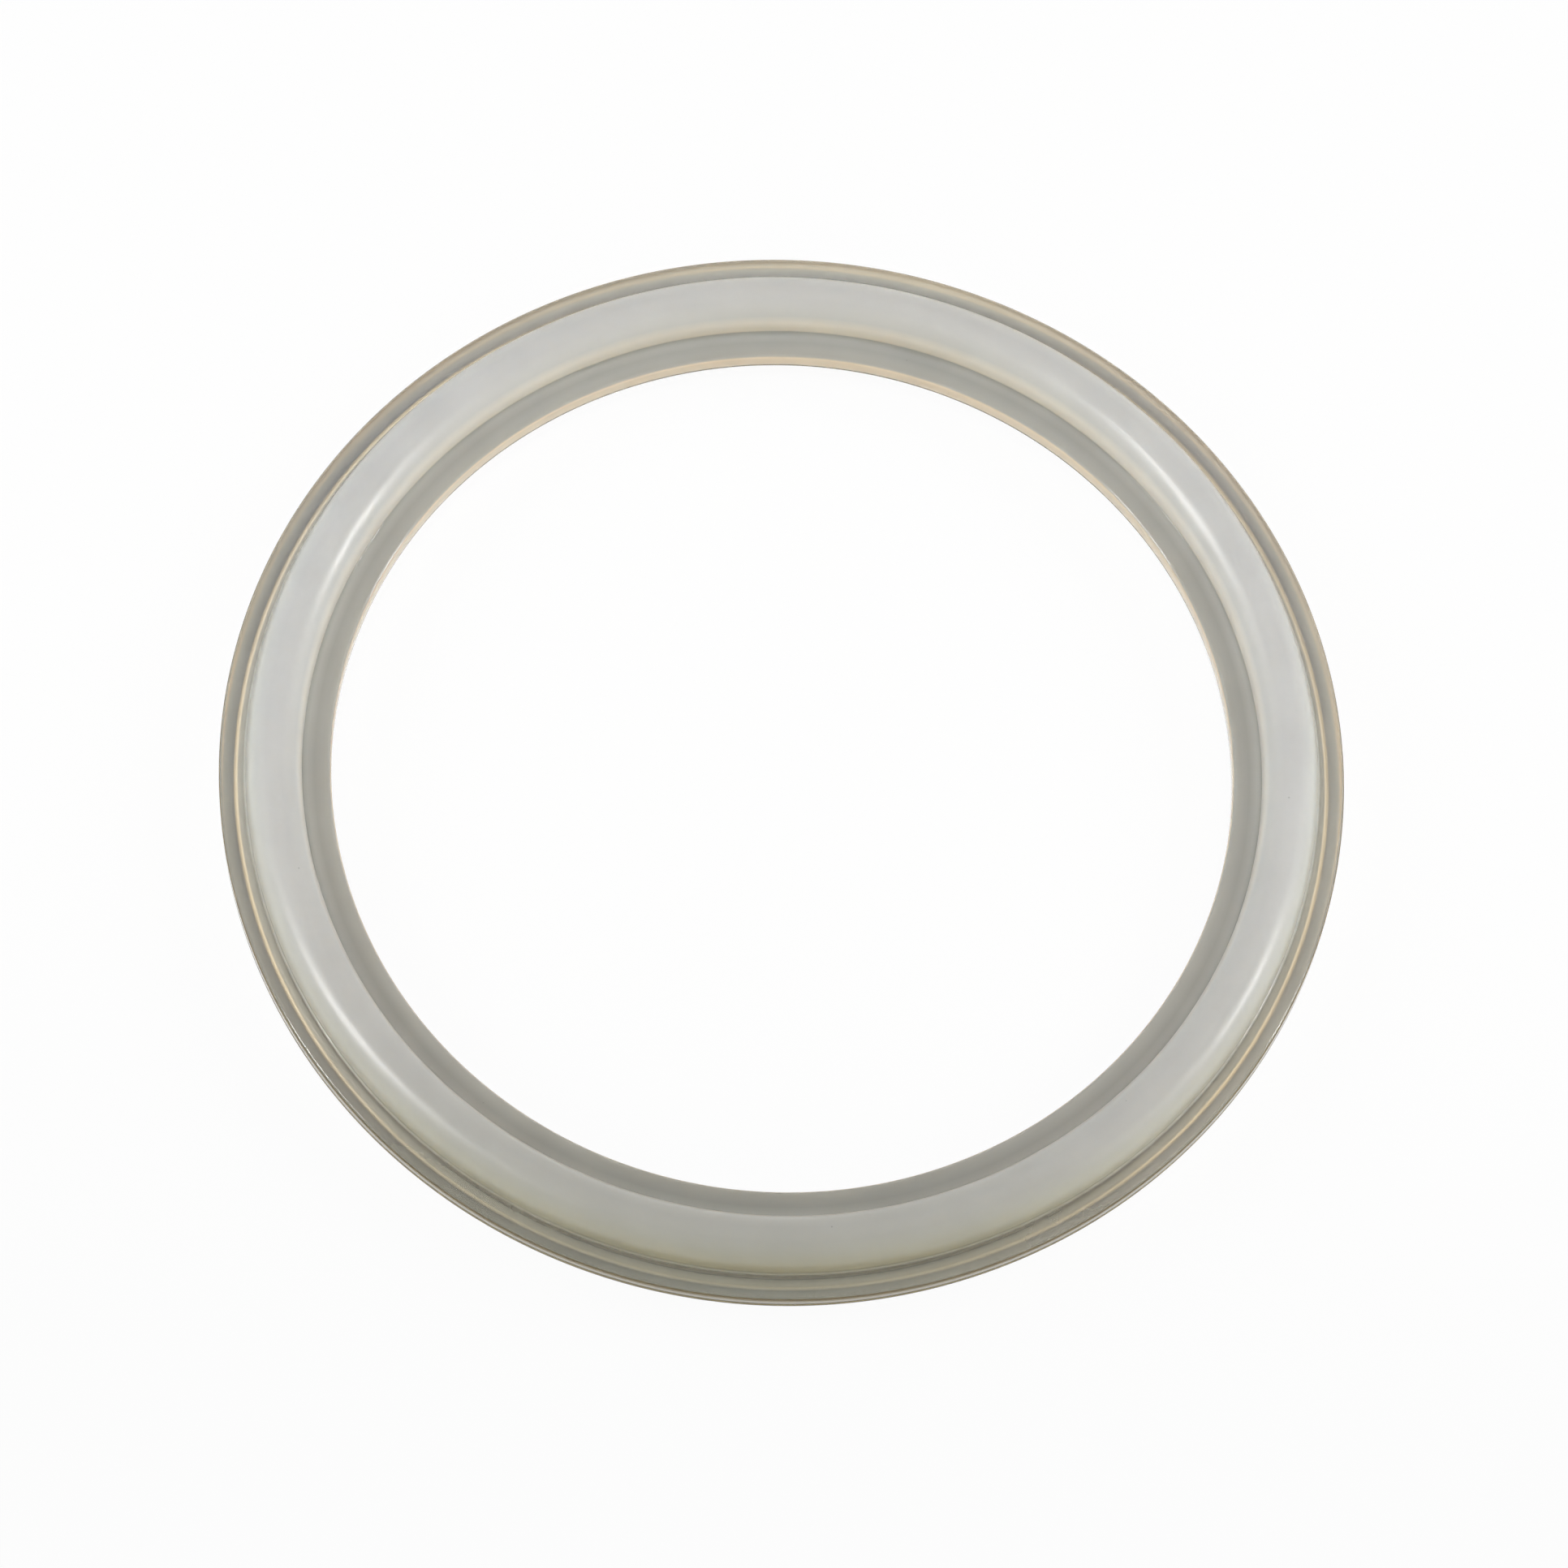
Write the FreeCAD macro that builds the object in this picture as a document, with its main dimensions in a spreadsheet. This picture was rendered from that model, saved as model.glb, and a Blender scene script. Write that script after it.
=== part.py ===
import FreeCAD, Part
import math
import os
import Sketcher

# Sealing ring moulded in one piece from translucent silicone, lying flat with its axis on Z.
# A thin flat land carries a half-round bead on each face, which seats in a groove, and a fine
# rib runs round under the outer land. The origin is on the axis at half the land's thickness.

# Driving dimensions in millimetres. The rim's diameter is the bore's plus the widths outside it.
DIMENSIONS = [
    ("bore_diameter", 72.9, "clear bore, flush with the pipe it seals"),
    ("inner_land_width", 2.35, "flat land between the bore and the bead"),
    ("bead_width", 4.5, "bead across its walls, and its half-round crest's diameter"),
    ("outer_land_width", 2.2, "flat land between the bead and the rim"),
    ("land_thickness", 1.8, "thickness of the flat land"),
    ("bead_wall_height", 0.5, "straight wall from the land up to the half-round crest"),
    ("bead_root_radius", 0.15, "fillet where the bead meets the land"),
    ("edge_radius", 0.3, "rounding of the land's edges at the bore and the rim"),
    ("rib_gap", 0.85, "from the bead's wall to the middle of the rib"),
    ("rib_width", 0.3, "rib across, half of which stands out of the land"),
]

# The radii and the height that several features share, as formulas on the dimensions.
BORE_RADIUS = "Dimensions.bore_diameter / 2"
BEAD_INNER_RADIUS = f"({BORE_RADIUS} + Dimensions.inner_land_width)"
BEAD_OUTER_RADIUS = f"({BEAD_INNER_RADIUS} + Dimensions.bead_width)"
RIM_RADIUS = f"({BEAD_OUTER_RADIUS} + Dimensions.outer_land_width)"
LAND_TOP = "Dimensions.land_thickness / 2"
WALL_TOP = f"({LAND_TOP} + Dimensions.bead_wall_height)"

# How a sketch numbers a curve's points, and its own origin as the start of its horizontal axis.
POINT = {"start": 1, "end": 2, "centre": 3}
ORIGIN = (-1, 1)

NODE = "seal_ring"
SAME_MM = 1e-4


def fill_sheet(document):
    sheet = document.addObject("Spreadsheet::Sheet", "Dimensions")
    for row, (name, value, meaning) in enumerate(DIMENSIONS, start=1):
        sheet.set(f"A{row}", name)
        sheet.set(f"B{row}", str(value))
        sheet.setAlias(f"B{row}", name)
        sheet.set(f"C{row}", meaning)
    document.recompute()
    return sheet


def origin_part(body, role):
    return next(part for part in body.Origin.OriginFeatures if part.Role == role)


def new_sketch(body, name, plane):
    sketch = body.newObject("Sketcher::SketchObject", name)
    sketch.AttachmentSupport = [(origin_part(body, plane), "")]
    sketch.MapMode = "FlatFace"
    return sketch


def drive(sketch, name, formula, kind, *curves):
    """Adds a sketch dimension whose value comes from the formula."""
    value = sketch.evalExpression(formula)
    index = sketch.addConstraint(Sketcher.Constraint(kind, *curves, float(value)))
    sketch.renameConstraint(index, name)
    sketch.setExpression(f"Constraints.{name}", formula)


def circle_at(x, y, radius):
    return Part.Circle(FreeCAD.Vector(x, y, 0), FreeCAD.Vector(0, 0, 1), radius)


def revolve(body, name, sketch):
    turned = body.newObject("PartDesign::Revolution", name)
    turned.Profile = sketch
    turned.ReferenceAxis = (sketch, ["V_Axis"])
    turned.Angle = 360
    return turned


# The land, a flat ring about the origin
def add_land(body):
    sketch = new_sketch(body, "LandOutline", "XY_Plane")
    for name, formula in (("bore_radius", BORE_RADIUS), ("rim_radius", RIM_RADIUS)):
        radius = sketch.evalExpression(formula)
        circle = sketch.addGeometry(circle_at(0, 0, radius))
        sketch.addConstraint(
            Sketcher.Constraint("Coincident", circle, POINT["centre"], *ORIGIN)
        )
        drive(sketch, name, formula, "Radius", circle)
    land = body.newObject("PartDesign::Pad", "Land")
    land.Profile = sketch
    land.SideType = "Symmetric"
    land.setExpression("Length", "Dimensions.land_thickness")
    return land


# The upper bead, drawn from the middle of the land up: two walls under a half-round crest
def add_upper_bead(body):
    sketch = new_sketch(body, "BeadSection", "XZ_Plane")
    inner = sketch.evalExpression(BEAD_INNER_RADIUS)
    outer = sketch.evalExpression(BEAD_OUTER_RADIUS)
    wall_top = sketch.evalExpression(WALL_TOP)
    foot_in, foot_out = FreeCAD.Vector(inner, 0, 0), FreeCAD.Vector(outer, 0, 0)
    top_in, top_out = FreeCAD.Vector(inner, wall_top, 0), FreeCAD.Vector(outer, wall_top, 0)
    crest_circle = circle_at((inner + outer) / 2, wall_top, (outer - inner) / 2)

    inner_wall = sketch.addGeometry(Part.LineSegment(foot_in, top_in))
    crest = sketch.addGeometry(Part.ArcOfCircle(crest_circle, 0, math.pi))
    outer_wall = sketch.addGeometry(Part.LineSegment(top_out, foot_out))
    foot = sketch.addGeometry(Part.LineSegment(foot_out, foot_in))
    for rule in (
        ("Tangent", inner_wall, POINT["end"], crest, POINT["end"]),
        ("Tangent", crest, POINT["start"], outer_wall, POINT["start"]),
        ("Coincident", outer_wall, POINT["end"], foot, POINT["start"]),
        ("Coincident", foot, POINT["end"], inner_wall, POINT["start"]),
        ("Vertical", inner_wall),
        ("Vertical", outer_wall),
        ("Horizontal", foot),
        ("PointOnObject", inner_wall, POINT["start"], ORIGIN[0]),
    ):
        sketch.addConstraint(Sketcher.Constraint(*rule))
    inner_foot = (inner_wall, POINT["start"])
    inner_top = (inner_wall, POINT["end"])
    outer_foot = (outer_wall, POINT["end"])
    drive(sketch, "inner_radius", BEAD_INNER_RADIUS, "DistanceX", *ORIGIN, *inner_foot)
    drive(sketch, "width", "Dimensions.bead_width", "DistanceX", *inner_foot, *outer_foot)
    drive(sketch, "wall_top", WALL_TOP, "DistanceY", *inner_foot, *inner_top)
    return revolve(body, "UpperBead", sketch)


def add_lower_bead(body, upper_bead):
    lower_bead = body.newObject("PartDesign::Mirrored", "LowerBead")
    lower_bead.Originals = [upper_bead]
    lower_bead.MirrorPlane = (origin_part(body, "XY_Plane"), [""])
    body.Tip = lower_bead
    return lower_bead


def rings_at(feature, radii, height):
    """The feature's circular edges with one of these radii, above or below the land's middle."""
    found = []
    for number, edge in enumerate(feature.Shape.Edges, start=1):
        if not isinstance(edge.Curve, Part.Circle):
            continue
        level = abs(abs(edge.Curve.Center.z) - height) < SAME_MM
        if level and any(abs(edge.Curve.Radius - radius) < SAME_MM for radius in radii):
            found.append(f"Edge{number}")
    return found


def round_edges(body, name, feature, formulas, size):
    radii = [feature.evalExpression(formula) for formula in formulas]
    rounded = body.newObject("PartDesign::Fillet", name)
    rounded.Base = (feature, rings_at(feature, radii, feature.evalExpression(LAND_TOP)))
    rounded.setExpression("Radius", size)
    return rounded


# The fine rib, a round cord half sunk in the underside of the outer land
def add_rib(body):
    sketch = new_sketch(body, "RibSection", "XZ_Plane")
    rib_radius = f"{BEAD_OUTER_RADIUS} + Dimensions.rib_gap"
    across = sketch.evalExpression(rib_radius)
    down = sketch.evalExpression(LAND_TOP)
    size = sketch.evalExpression("Dimensions.rib_width / 2")
    circle = sketch.addGeometry(circle_at(across, -down, size))
    drive(sketch, "size", "Dimensions.rib_width / 2", "Radius", circle)
    centre = (circle, POINT["centre"])
    drive(sketch, "across", rib_radius, "DistanceX", *ORIGIN, *centre)
    drive(sketch, "down", LAND_TOP, "DistanceY", *centre, *ORIGIN)
    return revolve(body, "UndersideRib", sketch)


def build_ring(document):
    body = document.addObject("PartDesign::Body", "SealRing")
    body.Label = NODE
    add_land(body)
    upper_bead = add_upper_bead(body)
    document.recompute()
    lower_bead = add_lower_bead(body, upper_bead)
    document.recompute()
    bead_walls = (BEAD_INNER_RADIUS, BEAD_OUTER_RADIUS)
    roots = round_edges(body, "BeadRoots", lower_bead, bead_walls, "Dimensions.bead_root_radius")
    document.recompute()
    land_edges = (BORE_RADIUS, RIM_RADIUS)
    round_edges(body, "LandEdges", roots, land_edges, "Dimensions.edge_radius")
    document.recompute()
    add_rib(body)
    document.recompute()
    return body


def stop_if_broken(document, bodies):
    broken = [o.Label for o in document.Objects if {"Invalid", "Error"} & set(o.State)]
    broken += [b.Label for b in bodies if b.Shape.isNull() or not b.Shape.isValid()]
    if broken:
        raise RuntimeError(f"these failed to build: {', '.join(broken)}")


def main():
    document = FreeCAD.newDocument("SealingRing")
    fill_sheet(document)
    bodies = [build_ring(document)]
    stop_if_broken(document, bodies)
    os.makedirs("parts", exist_ok=True)
    for body in bodies:
        body.Shape.exportStep(os.path.join("parts", f"{body.Label}.step"))
        box = body.Shape.optimalBoundingBox()
        print(f"{body.Label}: {len(body.Shape.Solids)} solid, {body.Shape.Volume:.1f} mm3,")
        print(f"  {box.XLength:.3f} x {box.YLength:.3f} x {box.ZLength:.3f} mm")


main()
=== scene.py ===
import math

import bmesh
import bpy
from mathutils import Matrix, Vector


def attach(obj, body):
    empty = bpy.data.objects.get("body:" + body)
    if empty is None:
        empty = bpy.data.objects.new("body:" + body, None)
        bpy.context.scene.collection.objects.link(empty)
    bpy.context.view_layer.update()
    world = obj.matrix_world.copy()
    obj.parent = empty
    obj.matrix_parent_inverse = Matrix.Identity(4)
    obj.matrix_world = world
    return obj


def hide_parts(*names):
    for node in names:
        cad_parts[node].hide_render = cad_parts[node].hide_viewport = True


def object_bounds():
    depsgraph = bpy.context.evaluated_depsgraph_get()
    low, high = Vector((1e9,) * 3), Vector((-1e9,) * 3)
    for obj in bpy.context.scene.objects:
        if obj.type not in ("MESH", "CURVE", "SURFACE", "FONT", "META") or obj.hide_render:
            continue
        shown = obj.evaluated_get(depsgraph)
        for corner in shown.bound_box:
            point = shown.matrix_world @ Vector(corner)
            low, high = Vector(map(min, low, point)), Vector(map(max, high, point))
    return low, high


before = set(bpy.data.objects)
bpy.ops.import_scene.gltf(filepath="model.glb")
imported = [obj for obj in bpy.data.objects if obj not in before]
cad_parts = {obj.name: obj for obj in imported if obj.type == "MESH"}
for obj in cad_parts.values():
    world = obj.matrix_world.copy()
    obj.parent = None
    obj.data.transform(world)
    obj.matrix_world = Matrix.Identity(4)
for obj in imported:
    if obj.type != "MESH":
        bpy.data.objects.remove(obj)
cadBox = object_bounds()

mm = 0.001
node = "seal_ring"
print("frame loaded")


def linear(hexColour):  # sRGB hex to the linear values that a socket takes
    parts = [int(hexColour[i : i + 2], 16) / 255 for i in (0, 2, 4)]
    return [p / 12.92 if p <= 0.04045 else ((p + 0.055) / 1.055) ** 2.4 for p in parts] + [1.0]


def addNode(tree, kind, settings=None):  # on an input, a socket is linked and text is a colour in hex
    made = tree.nodes.new(kind)
    for name, value in (settings or {}).items():
        if isinstance(value, bpy.types.NodeSocket):
            tree.links.new(value, made.inputs[name])
        elif isinstance(name, int) or name in made.inputs:
            made.inputs[name].default_value = linear(value) if isinstance(value, str) else value
        else:
            setattr(made, name, value)
    return made


def emptyTree(owner):
    owner.use_nodes = True
    owner.node_tree.nodes.clear()
    return owner.node_tree


# The ring: a half section turned about the bore's axis, in millimetres

ring = {
    "boreRadius": 36.45,
    "beadInner": 38.8,
    "beadOuter": 43.3,
    "rimRadius": 45.5,
    "landHalf": 0.9,  # half the land's thickness
    "beadWall": 0.5,  # straight wall below the bead's half round
    "rootRadius": 0.15,  # fillet at a bead's foot
    "edgeRadius": 0.3,  # rounding at the bore and the rim
    "ribRadius": 44.15,  # fine half-round rib under the outer land
    "ribHalf": 0.15,
    "partingHalf": 0.05,  # groove that the mould's parting line leaves round the rim
    "partingDeep": 0.04,
    "partingHeight": -0.15,
    "mergeGap": 0.001,
    "crestSteps": 28,
    "filletSteps": 6,
    "ribSteps": 8,
    "turnSteps": 360,
}


def addChain(bm, points):
    verts = [bm.verts.new((x * mm, 0, z * mm)) for x, z in points]
    for a, b in zip(verts, verts[1:]):
        bm.edges.new((a, b))
    return verts


def addHalfRound(bm, start, middle, height, steps):
    swept = bmesh.ops.spin(
        bm, geom=[start], cent=(middle * mm, 0, height * mm), axis=(0, 1, 0), dvec=(0, 0, 0),
        angle=math.pi, steps=steps, use_duplicate=False,
    )
    return next(v for v in swept["geom_last"] if isinstance(v, bmesh.types.BMVert))


def makeRing(sizes):
    top = sizes["landHalf"]
    wallTop = top + sizes["beadWall"]
    bore, beadIn, beadOut = sizes["boreRadius"], sizes["beadInner"], sizes["beadOuter"]
    middle = (beadIn + beadOut) / 2
    rim, parting, partingHalf = sizes["rimRadius"], sizes["partingHeight"], sizes["partingHalf"]
    bm = bmesh.new()

    # over the top: bore wall, inner land, bead, outer land, rim with the mould's parting line
    boreLow, boreHigh, innerFoot, innerWall = addChain(bm, [
        (bore, -top), (bore, top), (beadIn, top), (beadIn, wallTop),
    ])
    crestEnd = addHalfRound(bm, innerWall, middle, wallTop, sizes["crestSteps"])
    outerFoot, rimHigh, *_, rimLow, ribStart = addChain(bm, [
        (beadOut, top), (rim, top), (rim, parting + partingHalf), (rim - sizes["partingDeep"], parting),
        (rim, parting - partingHalf), (rim, -top), (sizes["ribRadius"] + sizes["ribHalf"], -top),
    ])
    bm.edges.new((crestEnd, outerFoot))

    # back underneath: rib, outer land, lower bead, inner land
    ribEnd = addHalfRound(bm, ribStart, sizes["ribRadius"], -top, sizes["ribSteps"])
    lowerFoot, lowerWall = addChain(bm, [(beadOut, -top), (beadOut, -wallTop)])
    bm.edges.new((ribEnd, lowerFoot))
    lowerEnd = addHalfRound(bm, lowerWall, middle, -wallTop, sizes["crestSteps"])
    lastFoot = bm.verts.new((beadIn * mm, 0, -top * mm))
    bm.edges.new((lowerEnd, lastFoot))
    bm.edges.new((lastFoot, boreLow))

    # fillets at the beads' feet, rounded edges at the bore and the rim, then the full turn
    roots = [innerFoot, outerFoot, lowerFoot, lastFoot]
    edges = [boreLow, boreHigh, rimHigh, rimLow]
    for corners, radius in ((roots, sizes["rootRadius"]), (edges, sizes["edgeRadius"])):
        bmesh.ops.bevel(
            bm, geom=corners, offset=radius * mm, offset_type="OFFSET", affect="VERTICES",
            segments=sizes["filletSteps"], profile=0.5, material=-1, clamp_overlap=False,
        )
    bmesh.ops.spin(
        bm, geom=bm.verts[:] + bm.edges[:], cent=(0, 0, 0), axis=(0, 0, 1), dvec=(0, 0, 0),
        angle=2 * math.pi, steps=sizes["turnSteps"], use_merge=True, use_duplicate=False,
    )
    bmesh.ops.remove_doubles(bm, verts=bm.verts[:], dist=sizes["mergeGap"] * mm)
    bmesh.ops.recalc_face_normals(bm, faces=bm.faces[:])
    mesh = bpy.data.meshes.new("silicone_ring")
    bm.to_mesh(mesh)
    bm.free()
    mesh.shade_smooth()
    made = bpy.data.objects.new("silicone_ring", mesh)
    bpy.context.scene.collection.objects.link(made)
    return made


# Silicone rubber, moulded: it is milky, so thick parts look white and thin ones take up the grey of what
# is behind them. The mould leaves the bead satin and the land glassy, and warm light shows in the edges.
# All places are in millimetres. A share is how much of a thing there is at a place, from 0 to 1.

silicone = {
    # the land's colours, outwards from the bore, the bead, the rib and the rim
    # painted light: the inner land lighter towards the bead's foot, and the underside lighter at the
    # bead's outer foot, offsetting the shade beside the bead
    "landFromBore": [(0.3, "acaaa4"), (0.85, "b1b0ac"), (1.35, "b1b0ac"), (1.95, "c4c4c0")],
    "topFromBead": [(0.0, "c4c4c0"), (0.1, "ecebe6")],
    "undersideFromBead": [(0.0, "c8c9c4"), (0.35, "b2b3af")],
    "undersideFromRib": [
        (-0.18, "b2b3af"), (-0.13, "fff4de"), (0.11, "fff4de"), (0.16, "c4c6c8"), (0.45, "c4c6c8"),
    ],
    # painted warm light: a bright band at the rim's lower rounding, seen through the clear land
    "undersideFromRim": [(-0.4, "c8cac8"), (-0.22, "ffecd0")],

    # the bead's colours, outwards from its inner wall; its lighter, warmer feet are painted light, for
    # light coming out of the rubber and against the shade there
    "bead": [
        (0.15, "efe9e0"), (0.5, "d7d6d3"), (1.6, "cfcecd"),
        (2.9, "cfcecd"), (3.6, "d7d6d3"), (4.45, "e2e0d6"),
    ],
    "lowerBead": "ffffff",

    # the walls' colours, the rim's upwards from the parting line; the peach is painted warm light coming
    # through the rubber's edges
    "bore": "e6d0b8",
    # painted shade and light: the rim's outside is a darker, shaded copy of the wall colour, and its
    # inside a bright, lit copy
    "rim": [(-0.1, "8a7840"), (-0.04, "6e6650"), (0.04, "6e6650"), (0.1, "8e8157")],
    "rimInsideLit": "fff0d8",
    "rimEdge": "867657",
    # painted shadow along the walls' lower edges
    "lowerEdgeShadow": "4e3c28",

    # from the near side to the far one, painted shade: darker and yellower on the near side, darker
    # beneath the outer land there, and the rib greyer there
    "paintedNearShade": [(-44, "f1efe6"), (-30, "fcfaf6"), (0, "ffffff"), (30, "ffffff"), (44, "faf9f6")],
    "paintedUndersideShade": [(-44, 0.77), (-24, 0.97), (0, 1.0)],
    "paintedRibShade": [(-44, 0.7), (-22, 0.0)],
    "ribShadeColour": "c4c6c8",

    # shares outwards from the bead's outer wall
    "beadEnds": [(0.16, 1.0), (0.26, 0.0)],
    "outerLand": [(0.05, 0.0), (0.25, 1.0)],

    # shares and roughness up from the land's upper face, and in the same way down from its lower face
    "wall": [(-0.15, 1.0), (-0.04, 0.0)],
    "raised": [(0.07, 0.0), (0.13, 1.0)],
    "roughness": [(0.1, 0.06), (0.4, 0.42)],

    # shares upwards from the land's upper face
    "rimEdgeBand": [(-0.3, 0.0), (-0.25, 1.0), (-0.12, 1.0), (-0.07, 0.0)],
    "clearTop": [(-0.18, 0.1), (-0.04, 0.88), (0.04, 0.88), (0.1, 0.0)],
    "lampsTop": [(0.04, 1.0), (0.1, 0.0)],

    # shares upwards from the land's lower face
    "underside": [(0.01, 1.0), (0.04, 0.0)],
    "lowerEdgeShadowBand": [(0.36, 1.0), (0.5, 0.0)],
    "clearRim": [(0.04, 0.0), (0.1, 0.1)],
    "lampsRim": [(0.04, 0.0), (0.1, 1.0)],

    # the rubber's own values, then its clouds, the dust and the grain of its skin
    "ior": 1.41,
    "coatRoughness": 0.29,  # the bead's soft shine
    "scatterDepth": 5.0 * mm,
    "scatterColours": (1.0, 0.95, 0.88),  # red goes deepest
    "lampLight": "fff4e4",
    "cloudSize": 5.0,  # about as wide as the bead
    "cloudDetail": 3.0,
    "cloudRange": (0.3, 0.7),
    "cloudShade": 0.05,
    "dustSpacing": 4.0,
    "dustSize": 0.1,  # real dust is about 0.03 mm and wouldn't show
    "dustShade": 0.3,
    "grainSize": 0.9,  # the real skin's grain is about 0.05 mm and wouldn't show
    "grainDetail": 2.0,
    "grainHeight": 0.008 * mm,
    "grainStrength": 0.5,
}


def placed(start, stops):  # stops whose places are counted from a start
    return [(start + place, value) for place, value in stops]


def bandsAlong(tree, measure, stops):  # colours in hex or plain values at places along a measure
    first, last = stops[0][0], stops[-1][0]
    along = addNode(tree, "ShaderNodeMapRange", {"Value": measure, "From Min": first, "From Max": last})
    bands = addNode(tree, "ShaderNodeValToRGB", {"Fac": along.outputs["Result"]})
    elements = bands.color_ramp.elements
    while len(elements) < len(stops):
        elements.new(1)
    for element, (place, value) in zip(elements, stops):
        element.position = (place - first) / (last - first)
        element.color = linear(value) if isinstance(value, str) else (value, value, value, 1)
    return bands.outputs["Color"]


def layered(tree, below, layers):  # covers a colour with others, each by its share
    for share, over in layers:
        mixed = addNode(tree, "ShaderNodeMix", {"data_type": "RGBA", 0: share, 6: below, 7: over})
        below = mixed.outputs[2]  # a mix of colours has its ends at inputs 6 and 7
    return below


def addMeasures(tree, look, sizes):  # what bands run along, in millimetres, and shares used more than once
    place = addNode(tree, "ShaderNodeTexCoord").outputs["Object"]
    inMm = addNode(tree, "ShaderNodeVectorMath", {
        "operation": "SCALE", 0: place, "Scale": 1 / mm}).outputs[0]
    flat = addNode(tree, "ShaderNodeVectorMath", {"operation": "MULTIPLY", 0: inMm, 1: (1, 1, 0)})
    out = addNode(tree, "ShaderNodeVectorMath", {
        "operation": "LENGTH", 0: flat.outputs[0]}).outputs["Value"]
    parts = addNode(tree, "ShaderNodeSeparateXYZ", {0: inMm})
    up = parts.outputs["Z"]
    upOrDown = addNode(tree, "ShaderNodeMath", {"operation": "ABSOLUTE", 0: up}).outputs[0]

    # a face is either seen from within the clear land or is the skin, seen from outside
    inside = addNode(tree, "ShaderNodeNewGeometry").outputs["Backfacing"]
    skin = addNode(tree, "ShaderNodeMath", {"operation": "SUBTRACT", 0: 1.0, 1: inside}).outputs[0]
    outerLand = bandsAlong(tree, out, placed(sizes["beadOuter"], look["outerLand"]))
    raised = bandsAlong(tree, upOrDown, placed(sizes["landHalf"], look["raised"]))
    beadEnds = bandsAlong(tree, out, placed(sizes["beadOuter"], look["beadEnds"]))
    bead = addNode(tree, "ShaderNodeMath", {"operation": "MULTIPLY", 0: raised, 1: beadEnds}).outputs[0]
    return {
        "place": inMm, "out": out, "up": up, "upOrDown": upOrDown, "away": parts.outputs["Y"],
        "inside": inside, "skin": skin, "outerLand": outerLand, "bead": bead,
    }


def addLandColour(tree, look, sizes, at):
    inner = placed(sizes["boreRadius"], look["landFromBore"])
    above = inner + placed(sizes["beadOuter"], look["topFromBead"])
    beneath = (inner + placed(sizes["beadOuter"], look["undersideFromBead"])
        + placed(sizes["ribRadius"], look["undersideFromRib"])
        + placed(sizes["rimRadius"], look["undersideFromRim"]))
    top = bandsAlong(tree, at["out"], above)
    underside = bandsAlong(tree, at["out"], beneath)
    # painted shade: the rib greyer towards the near side
    ribShade = bandsAlong(tree, at["away"], look["paintedRibShade"])
    underside = layered(tree, underside, [(ribShade, look["ribShadeColour"])])
    # painted shade: the underside darker towards the near side
    shade = bandsAlong(tree, at["away"], look["paintedUndersideShade"])
    shaded = addNode(tree, "ShaderNodeVectorMath", {"operation": "SCALE", 0: underside, "Scale": shade})
    isUnderside = bandsAlong(tree, at["up"], placed(-sizes["landHalf"], look["underside"]))
    return layered(tree, top, [(isUnderside, shaded.outputs[0])])


def addWallColour(tree, look, sizes, at):
    rim = bandsAlong(tree, at["up"], placed(sizes["partingHeight"], look["rim"]))
    # painted light: the rim seen from within the clear land gets its bright, lit copy
    rim = layered(tree, rim, [(at["inside"], look["rimInsideLit"])])
    # painted shadow along the walls' lower edges, on the skin only
    low = bandsAlong(tree, at["up"], placed(-sizes["landHalf"], look["lowerEdgeShadowBand"]))
    lowShadowOnSkin = addNode(tree, "ShaderNodeMath", {"operation": "MULTIPLY", 0: low, 1: at["skin"]}).outputs[0]
    return layered(tree, look["bore"], [(at["outerLand"], rim), (lowShadowOnSkin, look["lowerEdgeShadow"])])


def addRingColour(tree, look, sizes, at):
    bead = bandsAlong(tree, at["out"], placed(sizes["beadInner"], look["bead"]))
    bead = layered(tree, bead, [(at["inside"], look["lowerBead"])])
    colour = layered(tree, addLandColour(tree, look, sizes, at), [(at["bead"], bead)])
    # painted shade: the ring's colour darker and yellower towards the near side
    paintedNearShade = bandsAlong(tree, at["away"], look["paintedNearShade"])
    nearShadedColour = addNode(tree, "ShaderNodeVectorMath", {"operation": "MULTIPLY", 0: colour, 1: paintedNearShade})

    wall = addWallColour(tree, look, sizes, at)
    isWall = bandsAlong(tree, at["upOrDown"], placed(sizes["landHalf"], look["wall"]))
    edge = bandsAlong(tree, at["up"], placed(sizes["landHalf"], look["rimEdgeBand"]))
    edgeSkin = addNode(tree, "ShaderNodeMath", {"operation": "MULTIPLY", 0: edge, 1: at["skin"]})
    isRimEdge = addNode(tree, "ShaderNodeMath", {
        "operation": "MULTIPLY", 0: edgeSkin.outputs[0], 1: at["outerLand"]})
    return layered(tree, nearShadedColour.outputs[0], [(isWall, wall), (isRimEdge.outputs[0], look["rimEdge"])])


def addCloudsAndDust(tree, look, at, colour):
    cloud = addNode(tree, "ShaderNodeTexNoise", {
        "Vector": at["place"], "Scale": 1 / look["cloudSize"], "Detail": look["cloudDetail"]})
    least, most = look["cloudRange"]
    shade = addNode(tree, "ShaderNodeMapRange", {
        "Value": cloud.outputs["Fac"], "From Min": least, "From Max": most,
        "To Min": 1 - look["cloudShade"], "To Max": 1.0})
    dust = addNode(tree, "ShaderNodeTexVoronoi", {
        "Vector": at["place"], "Scale": 1 / look["dustSpacing"]})
    speckEdge = look["dustSize"] / look["dustSpacing"]
    speck = addNode(tree, "ShaderNodeMapRange", {
        "Value": dust.outputs["Distance"], "From Min": speckEdge / 2, "From Max": speckEdge,
        "To Min": 1 - look["dustShade"], "To Max": 1.0})
    both = addNode(tree, "ShaderNodeMath", {
        "operation": "MULTIPLY", 0: shade.outputs[0], 1: speck.outputs[0]})
    return addNode(tree, "ShaderNodeVectorMath", {
        "operation": "SCALE", 0: colour, "Scale": both.outputs[0]}).outputs[0]


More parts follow.
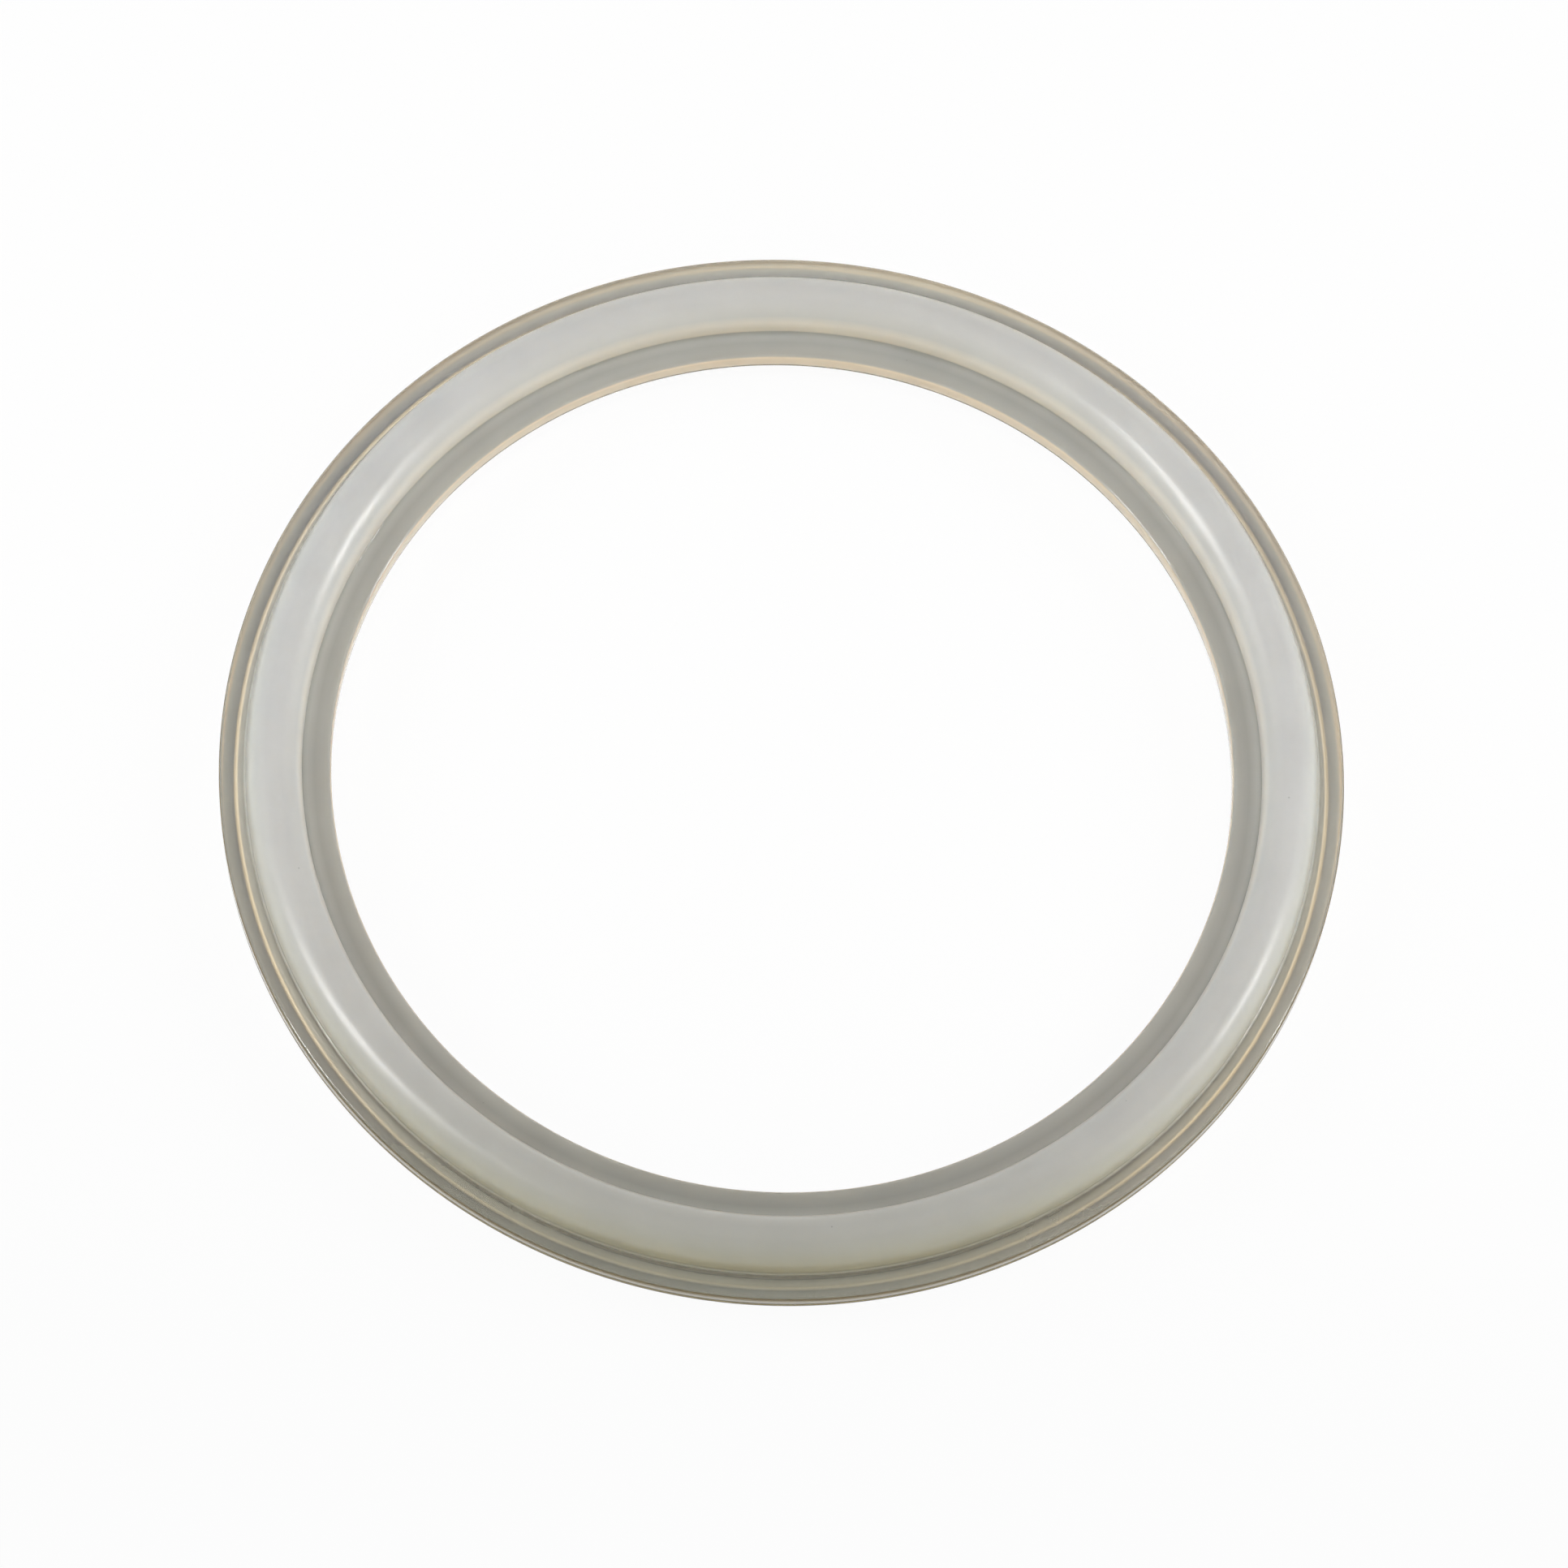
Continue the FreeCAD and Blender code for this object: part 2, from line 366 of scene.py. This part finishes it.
def makeSilicone(look, sizes):
    material = bpy.data.materials.new("moulded_translucent_silicone")
    tree = emptyTree(material)
    at = addMeasures(tree, look, sizes)
    colour = addCloudsAndDust(tree, look, at, addRingColour(tree, look, sizes, at))

    lower, upper = -sizes["landHalf"], sizes["landHalf"]
    openings = placed(lower, look["clearRim"]) + placed(upper, look["clearTop"])
    clear = addNode(tree, "ShaderNodeMath", {
        "operation": "MULTIPLY", 0: bandsAlong(tree, at["up"], openings), 1: at["outerLand"]})
    rough = bandsAlong(tree, at["upOrDown"], placed(upper, look["roughness"]))
    grain = addNode(tree, "ShaderNodeTexNoise", {
        "Vector": at["place"], "Scale": 1 / look["grainSize"], "Detail": look["grainDetail"]})
    bumps = addNode(tree, "ShaderNodeBump", {
        "Height": grain.outputs["Fac"],
        "Strength": look["grainStrength"], "Distance": look["grainHeight"]})
    rubber = addNode(tree, "ShaderNodeBsdfPrincipled", {
        "Base Color": colour, "Roughness": rough, "IOR": look["ior"], "Normal": bumps.outputs[0],
        "Transmission Weight": clear.outputs[0], "Subsurface Weight": at["skin"],
        "Subsurface Radius": look["scatterColours"], "Subsurface Scale": look["scatterDepth"],
        "Coat Weight": at["bead"], "Coat Roughness": look["coatRoughness"], "Coat IOR": look["ior"]})

    # lamps shine into the clear outer land through its top and its rim
    lampsIn = placed(lower, look["lampsRim"]) + placed(upper, look["lampsTop"])
    onLand = addNode(tree, "ShaderNodeMath", {
        "operation": "MULTIPLY", 0: bandsAlong(tree, at["up"], lampsIn), 1: at["outerLand"]})
    path = addNode(tree, "ShaderNodeLightPath")
    share = addNode(tree, "ShaderNodeMath", {
        "operation": "MULTIPLY", 0: onLand.outputs[0], 1: path.outputs["Is Shadow Ray"]})
    passing = addNode(tree, "ShaderNodeBsdfTransparent", {"Color": look["lampLight"]})
    surface = addNode(tree, "ShaderNodeMixShader", {
        0: share.outputs[0], 1: rubber.outputs[0], 2: passing.outputs[0]})
    addNode(tree, "ShaderNodeOutputMaterial", {"Surface": surface.outputs[0]})
    print("silicone:", len(tree.nodes), "nodes")
    return material


ringPiece = makeRing(ring)
ringPiece.data.materials.append(makeSilicone(silicone, ring))
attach(ringPiece, "root")
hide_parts(node)
print("ring:", len(ringPiece.data.polygons), "faces")


# Floor and world: the floor is matt and pale and keeps the ring's shadow, and both look white directly

studio = {
    "floorSize": 4.0,
    "floor": "f6f6f6",
    "shownWhite": 0.95,  # share of plain white in what the camera sees of the floor
    "worldLight": 0.014,
    "worldColour": "ffdcaa",
}


def seenDirectly(tree):  # 1 for camera, glossy and transmission rays
    path = addNode(tree, "ShaderNodeLightPath")
    either = addNode(tree, "ShaderNodeMath", {
        "operation": "MAXIMUM", 0: path.outputs["Is Camera Ray"], 1: path.outputs["Is Glossy Ray"]})
    return addNode(tree, "ShaderNodeMath", {
        "operation": "MAXIMUM", 0: either.outputs[0], 1: path.outputs["Is Transmission Ray"]}).outputs[0]


def makeFloor(look, height):
    bm = bmesh.new()
    bmesh.ops.create_grid(bm, x_segments=1, y_segments=1, size=look["floorSize"] / 2)
    bmesh.ops.translate(bm, verts=bm.verts[:], vec=(0, 0, height))
    mesh = bpy.data.meshes.new("floor")
    bm.to_mesh(mesh)
    bm.free()
    floor = bpy.data.objects.new("floor", mesh)
    bpy.context.scene.collection.objects.link(floor)
    material = bpy.data.materials.new("pale_floor")
    tree = emptyTree(material)
    lit = addNode(tree, "ShaderNodeBsdfDiffuse", {"Color": look["floor"]})
    white = addNode(tree, "ShaderNodeEmission", {"Color": "ffffff", "Strength": 1.0})
    share = addNode(tree, "ShaderNodeMath", {
        "operation": "MULTIPLY", 0: seenDirectly(tree), 1: look["shownWhite"]})
    surface = addNode(tree, "ShaderNodeMixShader", {
        0: share.outputs[0], 1: lit.outputs[0], 2: white.outputs[0]})
    addNode(tree, "ShaderNodeOutputMaterial", {"Surface": surface.outputs[0]})
    mesh.materials.append(material)
    return floor


def makeWorld(look):
    world = bpy.data.worlds.new("studio")
    tree = emptyTree(world)
    light = addNode(tree, "ShaderNodeBackground", {
        "Color": look["worldColour"], "Strength": look["worldLight"]})
    white = addNode(tree, "ShaderNodeBackground", {"Color": "ffffff", "Strength": 1.0})
    surface = addNode(tree, "ShaderNodeMixShader", {
        0: seenDirectly(tree), 1: light.outputs[0], 2: white.outputs[0]})
    addNode(tree, "ShaderNodeOutputWorld", {"Surface": surface.outputs[0]})
    bpy.context.scene.world = world


makeFloor(studio, cadBox[0].z)
makeWorld(studio)
print("floor and world set")


# Lamps: two that draw the shines on the bead, five soft ones round the ring, and a narrow beam from
# above on its far side. Places are in metres.

softLamp = {"aim": (0, 0, 0), "size": (0.4, 0.4), "spread": 180, "lights": "diffuse"}

lamps = {
    "rightShine": {"place": (0.75, 0.04, 0.66), "aim": (-0.3, 0.10, 0), "size": (0.14, 0.5),
        "spread": 30, "watts": 0.22, "colour": "ffffff", "lights": "glossy"},
    "leftShine": {"place": (-0.64, -0.15, 0.75), "aim": (0, 0, 0), "size": (0.1, 0.5),
        "spread": 180, "watts": 4.6, "colour": "ffffff", "lights": "glossy"},
    "rightLamp": {**softLamp, "place": (0.85, 0.04, 0.53), "watts": 2.8, "colour": "cae6ff"},
    "leftLamp": {**softLamp, "place": (-0.85, -0.05, 0.53), "watts": 3.4, "colour": "d8ecff"},
    "rightBackLamp": {**softLamp, "place": (0.75, 0.4, 0.53), "watts": 2.9, "colour": "fff4e4"},
    "leftBackLamp": {**softLamp, "place": (-0.75, 0.4, 0.53), "watts": 1.5, "colour": "fff4e4"},
    "nearLamp": {**softLamp, "place": (0, -0.85, 0.53), "watts": 2.1, "colour": "fff5d0"},
    "topLamp": {"place": (0, 0.078, 0.2), "aim": (0, 0.124, 0), "size": (0.3, 0.3),
        "spread": 25, "watts": 0.102, "colour": "fcf8f2", "lights": "diffuse"},
}

for name, lamp in lamps.items():
    light = bpy.data.lights.new(name, "AREA")
    light.shape = "RECTANGLE"
    light.size, light.size_y = lamp["size"]
    light.spread = math.radians(lamp["spread"])
    light.energy = lamp["watts"]
    light.color = linear(lamp["colour"])[:3]
    holder = bpy.data.objects.new(name, light)
    place = Vector(lamp["place"])
    holder.location = place
    holder.rotation_euler = (place - Vector(lamp["aim"])).to_track_quat("Z", "Y").to_euler()
    holder.visible_camera = False
    holder.visible_transmission = False
    holder.visible_diffuse = lamp["lights"] == "diffuse"
    holder.visible_glossy = lamp["lights"] == "glossy"
    bpy.context.scene.collection.objects.link(holder)
print("lamps:", len(lamps))


# Camera: a steep view from the near side, with a long lens and a little roll. Angles are in degrees.

view = {
    "elevation": 67.48,
    "distance": 0.652,  # from the ring's middle
    "lens": 185.0,
    "sensor": 36.0,
    "aim": (0.232 * mm, -1.240 * mm, 0),
    "roll": 5.3,
}

cameraData = bpy.data.cameras.new("camera")
cameraData.lens = view["lens"]
cameraData.sensor_width = view["sensor"]
camera = bpy.data.objects.new("camera", cameraData)
rise = math.radians(view["elevation"])
camera.location = Vector((0, -math.cos(rise), math.sin(rise))) * view["distance"]
sight = (Vector(view["aim"]) - camera.location).to_track_quat("-Z", "Y").to_matrix()
camera.rotation_euler = (sight @ Matrix.Rotation(math.radians(view["roll"]), 3, "Z")).to_euler()
bpy.context.scene.collection.objects.link(camera)
bpy.context.scene.camera = camera
bpy.context.scene.view_settings.view_transform = "Standard"
print("camera set")
